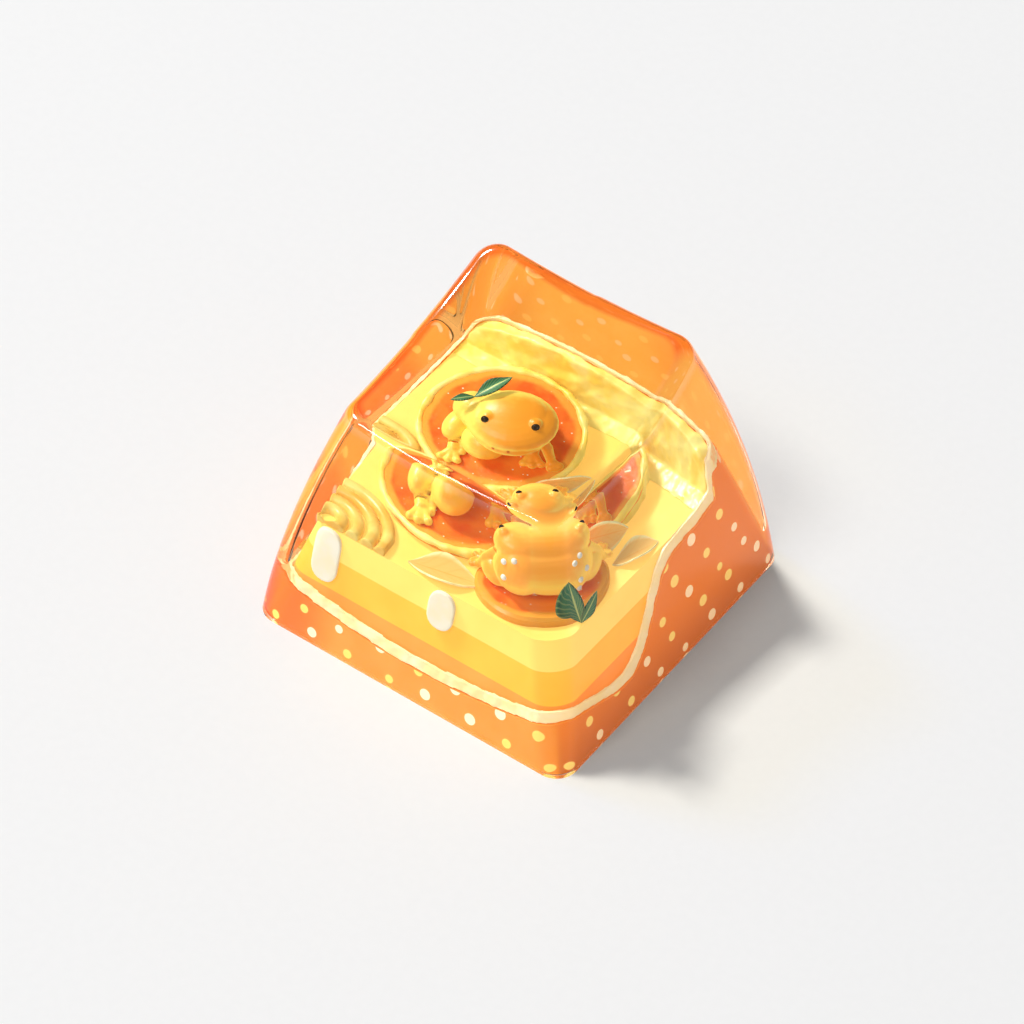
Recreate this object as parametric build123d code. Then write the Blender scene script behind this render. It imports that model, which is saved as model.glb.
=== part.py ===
from build123d import *

import os
from math import atan2, degrees, hypot, radians, sin

# Outer form of the key, in millimetres
BASE_WIDTH = 18.4
TOP_WIDTH = 11.89
TOP_FRONT = -6.05
TOP_BACK = 5.70
FRONT_HEIGHT = 13.37
BACK_HEIGHT = 15.78
WALL_BULGE = 0.40
CORNER_RADIUS = 1.16
DISH_LONG_SAG = 1.20
DISH_CROSS_SAG = 0.33
TOP_EDGE_RADIUS = 0.45

# Walls, from the outside in: the clear wall thins towards its foot
CLEAR_WALL = 1.45
CLEAR_FOOT = 0.25
CUP_WALL = 0.35
CUP_CORNER = 1.3
HOUSING_WALL = 0.40

# Underside that fits over the switch
SKIRT_WALL = 1.9
HOLLOW_DEPTH = 4.2
HOLLOW_DRAFT = 14.0
HOLLOW_CORNER = 0.4
STEM_DIAMETER = 5.5
STEM_RECESS = 0.5
CROSS_LENGTH = 4.1
CROSS_WIDE_ARM = 1.27
CROSS_NARROW_ARM = 1.17
CROSS_DEPTH = 3.4

# Heights of the cake, measured from the desk
CUP_FLOOR = 1.2
LOWER_TOP = 3.2
MIDDLE_TOP = 4.85
UPPER_TOP = 6.35

# Wavy edge of the cup: low at the front, arched up at the back
RIM_BAND = 0.7
RIM_DIP = 2.35
RIM_CORNER = 3.2
RIM_SIDE = 6.2
RIM_BACK_CORNER = 8.6
RIM_BACK = 10.0

# Citrus slices
SLICE_THICKNESS = 0.5
RIND_BEVEL = 0.15
LARGE_SLICE_RADIUS = 4.2
LARGE_SLICE_CENTRE = (-1.2, 0.3)
LARGE_SLICE_TILT = 6.0
SMALL_SLICE_RADIUS = 2.3
SMALL_SLICE_GAP = 0.3

# Frogs: height from seat to crown, the way they face and their place on the slice
SITTING_FROG_HEIGHT = 4.3
SITTING_FROG_TURN = 23.0
SITTING_FROG_PLACE = (0.6, 0.2)
TURNED_FROG_HEIGHT = 3.3
TURNED_FROG_TURN = 222.0
TURNED_FROG_PLACE = (-0.2, 0.2)

# Trimmings
PETAL_LENGTH = 3.0
PETAL_WIDTH = 1.9
PETAL_THICKNESS = 0.18
PETAL_EDGE = 1.2
FRONT_PETAL_ACROSS = 0.4
MIDDLE_PETAL_PLACE = (3.35, -1.0)
SIDE_PETAL_ALONG = -0.2
LEAF_LENGTH = 2.0
LEAF_WIDTH = 0.95
LEAF_THICKNESS = 0.2
SPRIG_EDGE = 0.35
SPRIG_ALONG = -5.0
ROSETTE_EDGE = 1.4
ROSETTE_RADIUS = 2.6
ROSETTE_RINGS = 2
ROSETTE_HEIGHT = 0.5
DRIP_DEPTH = 0.3
DRIP_WIDTH = 1.5
DRIP_PLACES = (-5.7, 1.0)
DRIP_LENGTHS = (2.8, 2.0)

# Sizes that follow from the ones above
TOP_CENTRE_Y = (TOP_FRONT + TOP_BACK) / 2
TOP_CENTRE_Z = (FRONT_HEIGHT + BACK_HEIGHT) / 2
TOP_RISE = BACK_HEIGHT - FRONT_HEIGHT
TOP_TILT = degrees(atan2(TOP_RISE, TOP_BACK - TOP_FRONT))
TOP_DEPTH = hypot(TOP_RISE, TOP_BACK - TOP_FRONT)
HOLLOW_MOUTH = BASE_WIDTH - 2 * SKIRT_WALL
HOUSING_TOP = MIDDLE_TOP
REACH = BASE_WIDTH


def arc_radius(chord, sag):
    """Radius of the arc that rises by sag over chord."""
    return chord * chord / (8 * sag) + sag / 2


def slab(low, high):
    """Wide flat block between two heights."""
    return Pos(0, 0, (low + high) / 2) * Box(2 * REACH, 2 * REACH, high - low)


def ellipsoid(half_x, half_y, half_z):
    """Ball stretched to three half axes."""
    return scale(Sphere(1), by=(half_x, half_y, half_z))


def wall_width(foot, top, level):
    """Distance between two bulging walls at a share of the height."""
    return foot + (top - foot) * level + 8 * WALL_BULGE * level * (1 - level)


def wall_section(level):
    """Outline of the four walls at a share of the height."""
    width = wall_width(BASE_WIDTH, TOP_WIDTH, level)
    depth = wall_width(BASE_WIDTH, TOP_DEPTH, level)
    place = Pos(0, TOP_CENTRE_Y * level, TOP_CENTRE_Z * level) * Rot(X=TOP_TILT * level)
    return place * RectangleRounded(width, depth, CORNER_RADIUS)


def core_lean():
    """Sideways shift of the cup's wall between its foot and its highest edge."""
    level = RIM_BACK / TOP_CENTRE_Z
    outer_lean = (BASE_WIDTH - wall_width(BASE_WIDTH, TOP_WIDTH, level)) / 2
    return outer_lean + CLEAR_WALL - CLEAR_FOOT


def core_form(inset):
    """Straight-sided form inside the clear wall, drawn in by inset, up to the cup's highest edge."""
    foot = BASE_WIDTH - 2 * (CLEAR_FOOT + inset)
    top = foot - 2 * core_lean()
    radius = CUP_CORNER - inset
    outline = RectangleRounded(foot, foot, radius)
    return loft([outline, Pos(0, 0, RIM_BACK) * RectangleRounded(top, top, radius)], ruled=True)


def cake_reach():
    """Distance from the middle to the edge of the cake's top."""
    return BASE_WIDTH / 2 - CLEAR_FOOT - CUP_WALL - core_lean() * UPPER_TOP / RIM_BACK


def outer_form():
    """Whole keycap from outside, with its dished and softened top."""
    cross_radius = arc_radius(TOP_WIDTH, DISH_CROSS_SAG)
    long_radius = arc_radius(TOP_DEPTH, DISH_LONG_SAG)
    lift = cross_radius - DISH_CROSS_SAG - DISH_LONG_SAG
    dish = Torus(cross_radius - long_radius, long_radius)
    place = Pos(0, TOP_CENTRE_Y, TOP_CENTRE_Z) * Rot(X=TOP_TILT)
    walls = loft([wall_section(level) for level in (0, 0.36, 0.72, 1.08)])
    form = walls - place * Pos(0, 0, lift) * Rot(X=90) * dish
    top_face = form.faces().sort_by(Axis.Z)[-1]
    return fillet(top_face.edges(), TOP_EDGE_RADIUS)


def below_rim():
    """Everything under the cup's wavy edge."""
    half = BASE_WIDTH / 2
    edge = Spline(
        (-half, RIM_CORNER),
        (-0.65 * half, (RIM_DIP + RIM_CORNER) / 2),
        (-0.36 * half, RIM_DIP),
        (-0.12 * half, (RIM_DIP + RIM_SIDE) / 2),
        (0.08 * half, RIM_SIDE),
        (0.30 * half, 0.9 * RIM_SIDE + 0.1 * RIM_BACK),
        (0.52 * half, 0.8 * RIM_SIDE + 0.2 * RIM_BACK),
    )
    front = -half - RIM_BAND
    rise = (0.59 * half, RIM_BACK + 1)
    frame = Polyline(edge @ 1, rise, (half, rise[1]), (half, -1), (front, -1), (front, RIM_CORNER), edge @ 0)
    under = extrude(Plane.YZ * make_face(edge + frame), REACH, both=True)
    arch_radius = arc_radius(TOP_WIDTH, RIM_BACK - RIM_BACK_CORNER)
    under &= Pos(0, 0, RIM_BACK - arch_radius) * Rot(X=90) * Cylinder(arch_radius, 2 * REACH)
    scoop_radius = arc_radius(BASE_WIDTH - 2 * CLEAR_WALL, RIM_CORNER - RIM_DIP)
    scoop = Rot(X=90) * Cylinder(scoop_radius, half / 2)
    return under - Pos(0, -half, RIM_DIP + scoop_radius) * scoop


def housing():
    """Tapered block that surrounds the hollow and closes it at the top."""
    mouth = HOLLOW_MOUTH + 2 * HOUSING_WALL
    return extrude(Rectangle(mouth, mouth), HOUSING_TOP, taper=HOLLOW_DRAFT)


def hollow():
    """Space under the key that the switch rises into."""
    mouth = RectangleRounded(HOLLOW_MOUTH, HOLLOW_MOUTH, HOLLOW_CORNER)
    return extrude(mouth, HOLLOW_DEPTH, taper=HOLLOW_DRAFT)


def stem():
    """Round post with the cross-shaped socket."""
    length = HOLLOW_DEPTH - STEM_RECESS
    post = Pos(0, 0, STEM_RECESS) * extrude(Circle(STEM_DIAMETER / 2), length)
    cross = Rectangle(CROSS_LENGTH, CROSS_WIDE_ARM) + Rectangle(CROSS_NARROW_ARM, CROSS_LENGTH)
    return post - Pos(0, 0, STEM_RECESS) * extrude(cross, CROSS_DEPTH)


def cup_wall():
    """Thin wall of the cup before its edge is trimmed."""
    return core_form(0) - core_form(CUP_WALL)


def dotted_cup():
    """Orange cup: wall, floor, housing and stem in one pour."""
    wall = cup_wall() & Pos(0, RIM_BAND / 2, -RIM_BAND) * below_rim()
    floor = core_form(CUP_WALL) & slab(0, CUP_FLOOR)
    return wall + floor + housing() - hollow() + stem()


def cream_rim():
    """Cream band that follows the cup's edge."""
    under = below_rim()
    return (cup_wall() & under) - Pos(0, RIM_BAND / 2, -RIM_BAND) * under


def cake_layer(low, high):
    """One layer of cake, fitted inside the cup and around the housing."""
    return (core_form(CUP_WALL) & slab(low, high)) - housing()


def large_slice_seat():
    """Plane under the large slice, tipped up towards the back."""
    drop = LARGE_SLICE_RADIUS * sin(radians(LARGE_SLICE_TILT))
    return Pos(*LARGE_SLICE_CENTRE, UPPER_TOP + drop) * Rot(X=LARGE_SLICE_TILT)


def small_slice_seat():
    """Plane under the small slice, level in the cake's front right corner."""
    corner = cake_reach() - SMALL_SLICE_GAP - SMALL_SLICE_RADIUS
    return Pos(corner, -corner, UPPER_TOP)


def citrus_slice(radius):
    """Round slice of citrus with a bevelled rind."""
    disc = extrude(Circle(radius), SLICE_THICKNESS)
    return chamfer(disc.edges().group_by(Axis.Z)[-1], RIND_BEVEL)


def cream_bed():
    """Cream that carries the large slice and banks up to the rim behind it."""
    seat = large_slice_seat()
    bank_width = BASE_WIDTH / 2 - LARGE_SLICE_RADIUS
    profile = Polyline((0, REACH), (0, 0), (LARGE_SLICE_RADIUS, 0))
    slope = ThreePointArc(
        (LARGE_SLICE_RADIUS, 0),
        (LARGE_SLICE_RADIUS + 0.12 * bank_width, 0.1 * bank_width),
        (LARGE_SLICE_RADIUS + 0.2 * bank_width, 0.44 * bank_width),
    )
    brow = (LARGE_SLICE_RADIUS + bank_width, 0.75 * bank_width)
    close = Polyline(slope @ 1, brow, (brow[0], REACH), (0, REACH))
    bowl = revolve(Plane.XZ * make_face(profile + slope + close), Axis.Z)
    inside = core_form(CUP_WALL) & slab(UPPER_TOP, BACK_HEIGHT)
    bank = (inside & Pos(0, 0, -0.3) * below_rim()) - seat * bowl
    pedestal = seat * Pos(0, 0, -2) * extrude(Circle(LARGE_SLICE_RADIUS), 2)
    return bank + (pedestal & inside)


def cream_rosette():
    """Piped rings of cream, trimmed to the cake's corner."""
    pitch = ROSETTE_RADIUS / ROSETTE_RINGS
    ridges = [(0, ROSETTE_HEIGHT), (0.5 * pitch, 0.4 * ROSETTE_HEIGHT)]
    for ring in range(1, ROSETTE_RINGS):
        ridges.append((ring * pitch, ROSETTE_HEIGHT))
        ridges.append(((ring + 0.5) * pitch, 0.4 * ROSETTE_HEIGHT))
    profile = Polyline(*ridges, (ROSETTE_RADIUS, 0), (0, 0), ridges[0])
    rings = revolve(Plane.XZ * make_face(profile), Axis.Z)
    corner = core_form(CUP_WALL) & slab(UPPER_TOP, BACK_HEIGHT)
    centre = ROSETTE_EDGE - cake_reach()
    return corner & Pos(centre, centre, UPPER_TOP) * rings


def cream_drips():
    """Two runs of cream on the front of the cake."""
    skin = core_form(CUP_WALL - DRIP_DEPTH) - core_form(CUP_WALL)
    drips = []
    for across, length in zip(DRIP_PLACES, DRIP_LENGTHS):
        outline = RectangleRounded(DRIP_WIDTH, length, DRIP_WIDTH / 2.1)
        place = Pos(across, UPPER_TOP - length / 2)
        drips.append(skin & extrude(Plane.XZ * place * outline, REACH))
    return Part() + drips


def frog_pose(seat, place, turn):
    """Placement of a frog on a slice: moved from its centre, then turned."""
    return seat * Pos(*place, SLICE_THICKNESS) * Rot(Z=turn)


def sitting_pose():
    """Where the first frog sits."""
    return frog_pose(large_slice_seat(), SITTING_FROG_PLACE, SITTING_FROG_TURN)


def turned_pose():
    """Where the second frog sits, with its back to the corner."""
    return frog_pose(small_slice_seat(), TURNED_FROG_PLACE, TURNED_FROG_TURN)


def sitting_frog():
    """Plump frog with a wide head and raised eyes, cut flat where it sits."""
    height = SITTING_FROG_HEIGHT
    figure = Pos(0, 0, 0.34 * height) * Sphere(0.40 * height)
    figure += Pos(0, -0.12 * height, 0.72 * height) * ellipsoid(0.50 * height, 0.42 * height, 0.28 * height)
    for side in (-1, 1):
        figure += Pos(side * 0.30 * height, -0.14 * height, 0.89 * height) * Sphere(0.12 * height)
    return figure & slab(0, REACH)


def turned_frog():
    """Smaller frog, hunched so that its back and head make one egg shape."""
    height = TURNED_FROG_HEIGHT
    figure = Pos(0, 0, 0.42 * height) * ellipsoid(0.46 * height, 0.40 * height, 0.58 * height)
    return figure & slab(0, REACH)


def rolled_leaf(length, width, thickness):
    """Thin pointed oval, curled along its middle, lying on the plane z = 0."""
    tip = length / 2
    upper = ThreePointArc((-tip, 0), (0, width / 2), (tip, 0))
    lower = ThreePointArc((tip, 0), (0, -width / 2), (-tip, 0))
    tube = Cylinder(width, 2 * length) - Cylinder(width - thickness, 2 * length)
    return extrude(make_face(upper + lower), width) & Pos(0, 0, width) * Rot(Y=90) * tube


def petal(across, along, height, tip, turn):
    """One pale petal at a point, tipped up and turned."""
    flat = rolled_leaf(PETAL_LENGTH, PETAL_WIDTH, PETAL_THICKNESS)
    return Pos(across, along, height) * Rot(Z=turn) * Rot(X=tip) * flat


def front_petal():
    """Petal that lies at the front edge of the cake."""
    return petal(FRONT_PETAL_ACROSS, PETAL_EDGE - cake_reach(), UPPER_TOP, 0, 18)


def middle_petal():
    """Petal that stands between the two slices."""
    return petal(*MIDDLE_PETAL_PLACE, UPPER_TOP + PETAL_WIDTH / 2, 80, 48)


def side_petal():
    """Petal that lies along the right wall."""
    return petal(cake_reach() - PETAL_EDGE, SIDE_PETAL_ALONG, UPPER_TOP, 0, 60)


def head_leaves():
    """Pair of leaves on the first frog's crown."""
    leaf = rolled_leaf(LEAF_LENGTH, LEAF_WIDTH, LEAF_THICKNESS)
    crown = sitting_pose() * Pos(0, 0.10 * SITTING_FROG_HEIGHT, 0.96 * SITTING_FROG_HEIGHT)
    pair = [crown * Rot(Z=turn) * Rot(Y=-25) * Pos(0.55 * LEAF_LENGTH, 0, 0) * leaf for turn in (35, 155)]
    return Part() + pair


def leaf_sprig():
    """Pair of leaves that stand at the cake's edge behind the second frog."""
    leaf = rolled_leaf(LEAF_LENGTH, LEAF_WIDTH, LEAF_THICKNESS)
    foot = Pos(cake_reach() - SPRIG_EDGE, SPRIG_ALONG, UPPER_TOP) * Rot(Z=80) * Rot(X=90)
    fan = [foot * Rot(Z=turn) * Pos(0.55 * LEAF_LENGTH, 0, 0) * leaf for turn in (45, 105)]
    return (Part() + fan) & slab(UPPER_TOP, BACK_HEIGHT)


def build():
    """All pieces by name, each cut clear of the ones it is set around."""
    sitting = sitting_pose() * sitting_frog()
    turned = turned_pose() * turned_frog()
    pieces = {
        "dotted_cup": dotted_cup(),
        "cream_rim": cream_rim(),
        "cake_layer_lower": cake_layer(CUP_FLOOR, LOWER_TOP),
        "cake_layer_middle": cake_layer(LOWER_TOP, MIDDLE_TOP),
        "cake_layer_upper": cake_layer(MIDDLE_TOP, UPPER_TOP),
        "cream_bed": cream_bed(),
        "cream_rosette": cream_rosette(),
        "cream_drips": cream_drips(),
        "large_citrus_slice": large_slice_seat() * citrus_slice(LARGE_SLICE_RADIUS),
        "small_citrus_slice": small_slice_seat() * citrus_slice(SMALL_SLICE_RADIUS),
        "sitting_frog": sitting,
        "turned_frog": turned,
        "head_leaves": head_leaves() - sitting,
        "leaf_sprig": leaf_sprig() - turned,
        "front_petal": front_petal(),
        "middle_petal": middle_petal(),
        "side_petal": side_petal(),
    }
    shell = outer_form()
    for piece in pieces.values():
        shell -= piece
    return {"clear_shell": shell - hollow(), **pieces}


os.makedirs("parts", exist_ok=True)
for name, piece in build().items():
    export_step(piece, f"parts/{name}.step")
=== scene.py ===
import logging
import math
from dataclasses import dataclass
from enum import Enum
from typing import Any, Iterable, Sequence

import bpy
from mathutils import Euler, Matrix, Vector


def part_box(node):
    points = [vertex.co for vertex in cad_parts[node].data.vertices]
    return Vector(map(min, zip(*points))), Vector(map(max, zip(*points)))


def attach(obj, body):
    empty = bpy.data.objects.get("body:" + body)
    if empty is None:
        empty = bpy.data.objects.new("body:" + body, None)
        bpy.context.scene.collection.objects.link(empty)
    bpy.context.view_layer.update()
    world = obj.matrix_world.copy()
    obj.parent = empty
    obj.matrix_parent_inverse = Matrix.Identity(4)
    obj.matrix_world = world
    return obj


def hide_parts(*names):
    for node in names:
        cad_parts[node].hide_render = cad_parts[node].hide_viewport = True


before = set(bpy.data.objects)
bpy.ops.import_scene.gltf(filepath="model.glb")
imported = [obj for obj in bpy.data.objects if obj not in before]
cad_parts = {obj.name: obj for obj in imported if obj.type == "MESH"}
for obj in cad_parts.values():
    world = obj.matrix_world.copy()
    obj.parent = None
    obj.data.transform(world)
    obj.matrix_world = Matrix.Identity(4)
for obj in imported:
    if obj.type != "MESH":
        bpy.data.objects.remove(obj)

LOG = logging.getLogger("keycap")
BODY = "root"
MM = 0.001
SITTING_HEIGHT = 4.3
TURNED_HEIGHT = 3.3
SEAT_LIFT = 0.25
SITTING_PLACE = (0.6, 0.2, SEAT_LIFT)
SITTING_TURN = 23.0
TURNED_PLACE = (-0.2, 0.2, SEAT_LIFT)
TURNED_TURN = 222.0
HUNCHED_MIDDLE = (0.0, 0.06, 0.38)
HUNCHED_HALF = (0.43, 0.40, 0.42)
Colour = tuple[float, float, float]


def tone(red: int, green: int, blue: int) -> Colour:
    """Turns a display colour into the linear values that shaders use.

    Args:
        red: display value from 0 to 255.
        green: display value from 0 to 255.
        blue: display value from 0 to 255.

    Returns:
        The same colour in linear values from 0 to 1.
    """
    def linear(value: float) -> float:
        """One channel in linear light."""
        return value / 12.92 if value <= 0.04045 else ((value + 0.055) / 1.055) ** 2.4
    return linear(red / 255), linear(green / 255), linear(blue / 255)


def moved(x: float, y: float, z: float) -> Matrix:
    """Shift in millimetres."""
    return Matrix.Translation((x, y, z))


def turned(angle: float, axis: str) -> Matrix:
    """Turn about an axis, in degrees."""
    return Matrix.Rotation(math.radians(angle), 4, axis)


class Wire:
    """One output socket, with arithmetic that adds Math nodes."""

    def __init__(self, graph: "Graph", socket: bpy.types.NodeSocket) -> None:
        """Keeps the socket and the graph it belongs to."""
        self.graph = graph
        self.socket = socket

    def math(self, operation: str, *values: Any) -> "Wire":
        """Adds a Math node that starts from this socket.

        Args:
            operation: the Math node's operation.
            values: its further inputs, as numbers or wires.

        Returns:
            The node's output.
        """
        inputs = dict(enumerate((self, *values)))
        return self.graph.node("ShaderNodeMath", {"operation": operation}, inputs)

    def __add__(self, other: Any) -> "Wire":
        """Sum."""
        return self.math("ADD", other)

    __radd__ = __add__

    def __sub__(self, other: Any) -> "Wire":
        """Difference."""
        return self.math("SUBTRACT", other)

    def __rsub__(self, other: Any) -> "Wire":
        """Difference from a number."""
        return (self * -1.0) + other

    def __mul__(self, other: Any) -> "Wire":
        """Product."""
        return self.math("MULTIPLY", other)

    __rmul__ = __mul__

    def __truediv__(self, other: Any) -> "Wire":
        """Quotient."""
        return self.math("DIVIDE", other)

    def __rtruediv__(self, other: Any) -> "Wire":
        """Quotient of a number."""
        return self.math("POWER", -1.0) * other

    def __gt__(self, other: Any) -> "Wire":
        """One where this is larger."""
        return self.math("GREATER_THAN", other)

    def __abs__(self) -> "Wire":
        """Size without its sign."""
        return self.math("ABSOLUTE")

    def step(self, low: float, high: float) -> "Wire":
        """Smooth rise from 0 at low to 1 at high."""
        inputs = {"Value": self, "From Min": low, "From Max": high}
        return self.graph.node("ShaderNodeMapRange", {"interpolation_type": "SMOOTHSTEP"}, inputs)

    def band(self, centre: float, half: float, soft: float) -> "Wire":
        """One near a value, falling to 0 past half of its width."""
        return 1.0 - abs(self - centre).step(half - soft, half + soft)


class Graph:
    """Node tree of one material or world."""

    def __init__(self, tree: bpy.types.NodeTree) -> None:
        """Empties the tree."""
        self.tree = tree
        tree.nodes.clear()

    def node(self, kind: str, settings: dict[str, Any], inputs: dict[Any, Any], output: Any = 0) -> Wire:
        """Adds any node.

        Args:
            kind: the node's type.
            settings: its properties, with a colour ramp's stops under "stops".
            inputs: values or wires by socket name or number.
            output: name or number of the output to hand back.

        Returns:
            The chosen output.
        """
        node = self.tree.nodes.new(kind)
        for name, value in settings.items():
            if name == "stops":
                self._stops(node.color_ramp, value)
            else:
                setattr(node, name, value)
        for name, value in inputs.items():
            if isinstance(value, Wire):
                self.tree.links.new(value.socket, node.inputs[name])
            elif node.inputs[name].type == "RGBA":
                node.inputs[name].default_value = (*value, 1.0)
            else:
                node.inputs[name].default_value = value
        return Wire(self, node.outputs[output] if node.outputs else None)

    @staticmethod
    def _stops(ramp: bpy.types.ColorRamp, stops: Sequence[tuple[float, Colour]]) -> None:
        """Sets a ramp's colours."""
        while len(ramp.elements) < len(stops):
            ramp.elements.new(1.0)
        for element, (place, colour) in zip(ramp.elements, stops):
            element.position = place
            element.color = (*colour, 1.0)

    def place(self) -> Wire:
        """Object coordinates in millimetres."""
        raw = self.node("ShaderNodeTexCoord", {}, {}, "Object")
        return self.node("ShaderNodeVectorMath", {"operation": "SCALE"}, {0: raw, "Scale": 1 / MM})

    def place_on(self, pose: Matrix) -> Wire:
        """Coordinates in millimetres as a posed piece sees them.

        Args:
            pose: the piece's place and turn, in millimetres.

        Returns:
            The coordinates in the piece's own axes.
        """
        inputs = {"Vector": self.place(), "Location": pose.translation, "Rotation": pose.to_euler()}
        return self.node("ShaderNodeMapping", {"vector_type": "TEXTURE"}, inputs)

    def axes(self, vector: Wire) -> tuple[Wire, ...]:
        """Three parts of a vector."""
        split = self.node("ShaderNodeSeparateXYZ", {}, {0: vector})
        return tuple(Wire(self, socket) for socket in split.socket.node.outputs)

    def noise(self, vector: Wire, scale: float, detail: float = 3.0) -> Wire:
        """Cloudy noise around one half."""
        return self.node("ShaderNodeTexNoise", {}, {"Vector": vector, "Scale": scale, "Detail": detail})

    def sparkle(self, vector: Wire, scale: float, share: float) -> Wire:
        """Fine bright flecks.

        Args:
            vector: coordinates in millimetres.
            scale: cells in a millimetre.
            share: part of the cells that shine.

        Returns:
            One in a fleck and zero elsewhere.
        """
        cells = self.node("ShaderNodeTexVoronoi", {}, {"Vector": vector, "Scale": scale}, "Distance")
        chance = self.axes(Wire(self, cells.socket.node.outputs["Color"]))[0]
        return (chance > 1.0 - share) * (1.0 - cells.step(0.15, 0.3))

    def blend(self, share: Any, first: Any, second: Any) -> Wire:
        """Colour between two others."""
        return self.node("ShaderNodeMix", {"data_type": "RGBA"}, {0: share, 6: first, 7: second}, 2)

    def bump(self, height: Wire, depth: float) -> Wire:
        """Normal that follows a height, depth in millimetres."""
        return self.node("ShaderNodeBump", {}, {"Height": height, "Strength": 1.0, "Distance": depth * MM})

    def surface(self, inputs: dict[str, Any], glow: float = 0.0, warm: Any = None) -> None:
        """Ends the graph in one Principled shader.

        Args:
            inputs: the shader's values and wires.
            glow: strength of a painted glow, an emission that stands in for light a translucent piece passes
                on from behind.
            warm: colour of that painted glow, the base colour if none is given.
        """
        if glow:
            # Painted glow: the emission is hidden from diffuse rays, so it does not light the floor.
            bounced = self.node("ShaderNodeLightPath", {}, {}, "Is Diffuse Ray")
            light = self.blend(bounced, warm or inputs["Base Color"], (0.0, 0.0, 0.0))
            inputs |= {"Emission Color": light, "Emission Strength": glow}
        self.output(self.node("ShaderNodeBsdfPrincipled", {}, inputs))

    def output(self, shader: Wire) -> None:
        """Links a shader to the material's output."""
        self.node("ShaderNodeOutputMaterial", {}, {"Surface": shader})


def new_material(name: str) -> tuple[bpy.types.Material, Graph]:
    """Starts a material.

    Args:
        name: its name.

    Returns:
        The material and its empty graph.
    """
    material = bpy.data.materials.new(name)
    material.use_nodes = True
    return material, Graph(material.node_tree)


@dataclass(frozen=True)
class ClearResin:
    """Polished clear casting resin."""

    ior: float = 1.5
    mirror: Colour = tone(150, 150, 150)
    tint: Colour = tone(255, 253, 247)
    # Painted reflection: amber tint for the back and left walls, standing in for the orange seen reflected in
    # them.
    amber: Colour = tone(255, 142, 44)
    edge_ior: float = 2.4
    edge_roughness: float = 0.12

    def material(self) -> bpy.types.Material:
        """Skin that bends light, and lets lamps shine on what is inside.

        Returns:
            The material.
        """
        material, graph = new_material("clear_resin")
        polish = graph.node("ShaderNodeAttribute", {"attribute_name": "polish"}, {}, "Fac")
        painted_reflection = graph.node("ShaderNodeAttribute", {"attribute_name": "painted_reflection"}, {}, "Fac")
        # Painted reflection: the clear resin turns amber at the back and left walls.
        tint = graph.blend(painted_reflection, self.tint, self.amber)
        inputs = {"Base Color": tint, "Roughness": 0.0, "IOR": self.ior, "Transmission Weight": 1.0}
        inputs |= {"Specular Tint": self.mirror, "Coat Weight": polish}
        inputs |= {"Coat IOR": self.edge_ior, "Coat Roughness": self.edge_roughness}
        glass = graph.node("ShaderNodeBsdfPrincipled", {}, inputs)
        through = graph.node("ShaderNodeBsdfTransparent", {}, {"Color": self.tint})
        path = graph.node("ShaderNodeLightPath", {}, {})
        shadow = Wire(graph, path.socket.node.outputs["Is Shadow Ray"])
        diffuse = Wire(graph, path.socket.node.outputs["Is Diffuse Ray"])
        share = shadow.math("MAXIMUM", diffuse)
        graph.output(graph.node("ShaderNodeMixShader", {}, {0: share, 1: glass, 2: through}))
        return material


@dataclass(frozen=True)
class Mottled:
    """Cast or piped material whose colour drifts between two tones."""

    name: str
    light: Colour
    dark: Colour
    scale: float = 0.8
    roughness: float = 0.45
    bump: float = 0.0
    bump_scale: float = 3.0
    # Painted glow: every mottled piece glows a little unless told otherwise, the black eye beads and pearls
    # too.
    glow: float = 0.15
    warm: Colour | None = None
    # Painted shade for faces turned to the back or left, if given.
    outer_shade: Colour | None = None

    def material(self) -> bpy.types.Material:
        """Builds the finish.

        Returns:
            The material.
        """
        material, graph = new_material(self.name)
        place = graph.place()
        share = graph.noise(place, self.scale).step(0.3, 0.7)
        colour = graph.blend(share, self.dark, self.light)
        # Painted shade: faces turned to the back or to the left take the darker orange outer tone.
        if self.outer_shade:
            nx, ny, _ = graph.axes(graph.node("ShaderNodeTexCoord", {}, {}, "Normal"))
            colour = graph.blend((ny.math("MAXIMUM", nx * -1.0)).step(0.3, 0.6), colour, self.outer_shade)
        inputs = {"Base Color": colour, "Roughness": self.roughness}
        if self.bump:
            inputs["Normal"] = graph.bump(graph.noise(place, self.bump_scale), self.bump)
        graph.surface(inputs, self.glow, self.warm)
        return material


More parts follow.
